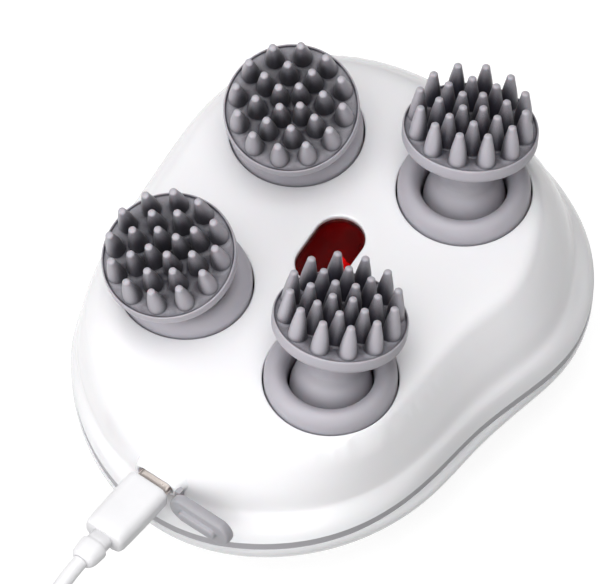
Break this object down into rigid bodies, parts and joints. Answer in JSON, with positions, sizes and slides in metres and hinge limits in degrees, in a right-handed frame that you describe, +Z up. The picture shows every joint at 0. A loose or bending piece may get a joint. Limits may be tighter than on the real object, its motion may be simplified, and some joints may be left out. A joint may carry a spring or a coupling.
{
  "type": "electric scalp massager",
  "caption": "Palm-sized electric scalp massager: a pear-shaped casing whose tilted silicone kneading heads nod in circles, with a light window and a plugged-in charging cable.",
  "frame": {"origin": "middle of the casing's bounding box, on the surface it rests on", "axes": "+Z up, heads up; the charging port is at the -Y end; +X to the right seen from the port end"},
  "size_m": [0.1195, 0.2099, 0.0758],
  "materials": {
    "casing_white": "gloss",
    "trim_grey": "satin",
    "silicone_grey": "matte",
    "cover_grey": "matte",
    "lens_red": "gloss",
    "reflector_red": "gloss",
    "diode_red": "gloss",
    "board_green": "matte",
    "gear_plastic": "satin",
    "gearbox_black": "matte",
    "steel": "brushed",
    "core_plastic": "matte",
    "cell_wrap": "gloss",
    "button_grey": "matte",
    "switch_black": "matte",
    "cable_white": "satin",
    "plug_metal": "polished",
    "tongue_black": "matte",
    "tie_white": "matte"
  },
  "bodies": {
    "casing": {"battery_cell": "cell_wrap", "button_board": "board_green", "button_switch": "switch_black", "cable_coil": "cable_white", "cable_cord": "cable_white", "case_screws": "steel", "centre_pin": "steel", "circuit_board": "board_green", "coil_tie": "tie_white", "cover_anchor": "cover_grey", "end_plug_body": "cable_white", "end_plug_relief": "cable_white", "end_plug_shell": "plug_metal", "end_plug_tongue": "tongue_black", "gear_cover": "gearbox_black", "gear_plate": "gearbox_black", "gearbox_screws": "steel", "idler_pin": "steel", "light_board": "board_green", "light_diodes": "diode_red", "light_reflector": "reflector_red", "light_window": "lens_red", "lower_shell": "casing_white", "motor_can": "steel", "plug_body": "cable_white", "plug_relief": "cable_white", "plug_shell": "plug_metal", "seal_ring_front_left": "silicone_grey", "seal_ring_front_right": "silicone_grey", "seal_ring_rear_left": "silicone_grey", "seal_ring_rear_right": "silicone_grey", "trim_band": "trim_grey", "upper_shell": "casing_white", "usb_socket": "plug_metal", "usb_tongue": "tongue_black"},
    "drive_gear": {"centre_gear": "gear_plastic"},
    "idler": {"idler_gear": "gear_plastic"},
    "rotor": {"motor_shaft": "steel", "motor_pinion": "gear_plastic"},
    "button": {"power_button": "button_grey"},
    "cover": {"port_cover": "cover_grey"},
    "crank_rear_left": {"output_gear_rear_left": "gear_plastic", "crank_pin_rear_left": "steel"},
    "head_rear_left": {"head_core_rear_left": "core_plastic", "head_pad_rear_left": "silicone_grey"},
    "crank_rear_right": {"output_gear_rear_right": "gear_plastic", "crank_pin_rear_right": "steel"},
    "head_rear_right": {"head_core_rear_right": "core_plastic", "head_pad_rear_right": "silicone_grey"},
    "crank_front_left": {"output_gear_front_left": "gear_plastic", "crank_pin_front_left": "steel"},
    "head_front_left": {"head_core_front_left": "core_plastic", "head_pad_front_left": "silicone_grey"},
    "crank_front_right": {"output_gear_front_right": "gear_plastic", "crank_pin_front_right": "steel"},
    "head_front_right": {"head_core_front_right": "core_plastic", "head_pad_front_right": "silicone_grey"}
  },
  "joints": [
    {"name": "drive_spin", "type": "hinge", "parent": "casing", "child": "drive_gear", "pos_m": [-0.0002, 0.0043, 0.027], "axis": [0, 0, 1], "continuous": true},
    {"name": "idler_spin", "type": "hinge", "parent": "casing", "child": "idler", "pos_m": [0.02686, 0.01415, 0.024], "axis": [0, 0, 1], "continuous": true},
    {"name": "motor_spin", "type": "hinge", "parent": "casing", "child": "rotor", "pos_m": [0.00954, 0.00415, 0.015], "axis": [0, 0, 1], "continuous": true},
    {"name": "power_press", "type": "slide", "parent": "casing", "child": "button", "axis": [0, 0, 1], "range_m": [0, 0.0006], "stiffness_N_per_m": 600},
    {"name": "cover_swing", "type": "hinge", "parent": "casing", "child": "cover", "pos_m": [-0.00089, -0.06256, 0.0334], "axis": [0, 0, -1], "range_deg": [0, 75]},
    {"name": "crank_rear_left_spin", "type": "hinge", "parent": "casing", "child": "crank_rear_left", "pos_m": [-0.02375, 0.02826, 0.03], "axis": [0, 0, 1], "continuous": true},
    {"name": "head_rear_left_nod", "type": "hinge", "parent": "crank_rear_left", "child": "head_rear_left", "pos_m": [-0.02375, 0.02826, 0.044], "axis": [0.08, -0.2462, 0.9659], "continuous": true},
    {"name": "crank_rear_right_spin", "type": "hinge", "parent": "casing", "child": "crank_rear_right", "pos_m": [0.01629, 0.03357, 0.03], "axis": [0, 0, 1], "continuous": true},
    {"name": "head_rear_right_nod", "type": "hinge", "parent": "crank_rear_right", "child": "head_rear_right", "pos_m": [0.01629, 0.03357, 0.044], "axis": [-0.0713, 0.2488, 0.9659], "continuous": true},
    {"name": "crank_front_left_spin", "type": "hinge", "parent": "casing", "child": "crank_front_left", "pos_m": [-0.02408, -0.01933, 0.03], "axis": [0, 0, 1], "continuous": true},
    {"name": "head_front_left_nod", "type": "hinge", "parent": "crank_front_left", "child": "head_front_left", "pos_m": [-0.02408, -0.01933, 0.044], "axis": [-0.0538, -0.2532, 0.9659], "continuous": true},
    {"name": "crank_front_right_spin", "type": "hinge", "parent": "casing", "child": "crank_front_right", "pos_m": [0.0165, -0.02486, 0.03], "axis": [0, 0, 1], "continuous": true},
    {"name": "head_front_right_nod", "type": "hinge", "parent": "crank_front_right", "child": "head_front_right", "pos_m": [0.0165, -0.02486, 0.044], "axis": [-0.0315, 0.2569, 0.9659], "continuous": true}
  ],
  "couplings": [
    {"joint": "idler_spin", "follows": "drive_spin", "ratio": -5},
    {"joint": "motor_spin", "follows": "drive_spin", "ratio": 20},
    {"joint": "crank_rear_left_spin", "follows": "drive_spin", "ratio": -1.3333},
    {"joint": "head_rear_left_nod", "follows": "drive_spin", "ratio": 1.3333},
    {"joint": "crank_rear_right_spin", "follows": "drive_spin", "ratio": -1.3333},
    {"joint": "head_rear_right_nod", "follows": "drive_spin", "ratio": 1.3333},
    {"joint": "crank_front_left_spin", "follows": "drive_spin", "ratio": -1.3333},
    {"joint": "head_front_left_nod", "follows": "drive_spin", "ratio": 1.3333},
    {"joint": "crank_front_right_spin", "follows": "drive_spin", "ratio": -1.3333},
    {"joint": "head_front_right_nod", "follows": "drive_spin", "ratio": 1.3333}
  ]
}
